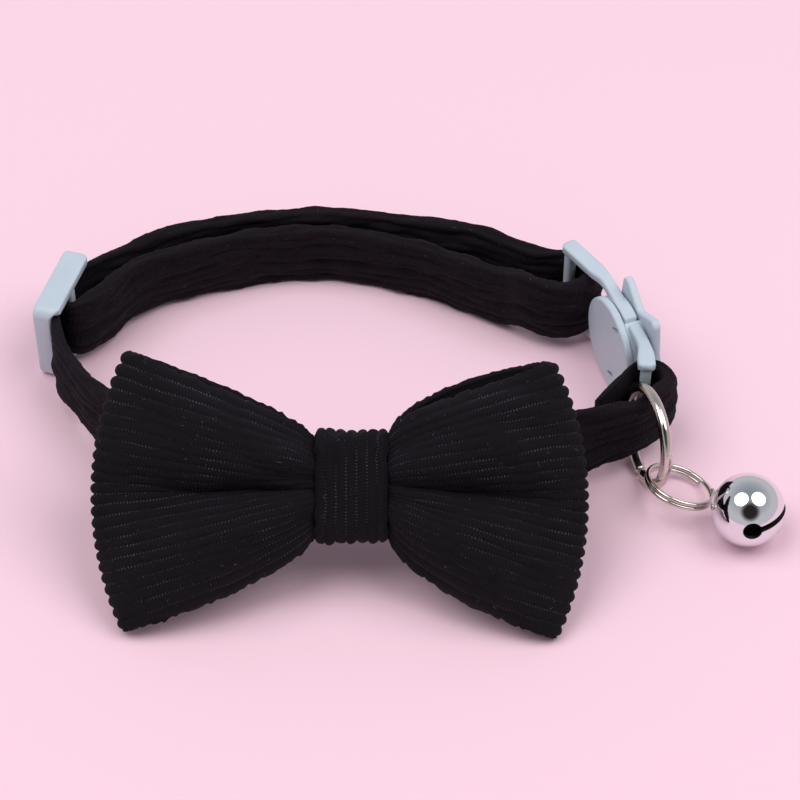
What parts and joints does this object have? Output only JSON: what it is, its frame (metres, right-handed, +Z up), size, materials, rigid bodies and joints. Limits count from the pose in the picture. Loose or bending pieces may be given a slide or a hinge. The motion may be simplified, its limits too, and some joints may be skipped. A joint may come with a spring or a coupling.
{
  "type": "pet bow tie collar",
  "caption": "Corduroy pet collar lying as a closed loop, with a pinched bow and band, a slider, a round release buckle, rings and a small round bell.",
  "frame": {"origin": "under the middle of the collar's box, on the surface that it lies on", "axes": "+X along the bow, from the slider's side to the buckle's; +Y from the bow to the back of the loop; +Z up"},
  "size_m": [0.1236, 0.0864, 0.0311],
  "materials": {
    "strap_cloth": "matte wide-wale corduroy tube",
    "bow_cloth": "matte wide-wale corduroy",
    "plastic": "satin moulded",
    "nickel": "polished nickel plating",
    "chrome": "mirror polished"
  },
  "bodies": {
    "root": {"strap": "strap_cloth", "slider": "plastic", "buckle_socket": "plastic", "buckle_tongue": "plastic", "bow_loop": "bow_cloth", "bow_knot": "bow_cloth", "large_ring": "nickel", "split_ring": "nickel", "bell": "chrome", "bell_pea": "nickel"}
  },
  "joints": []
}
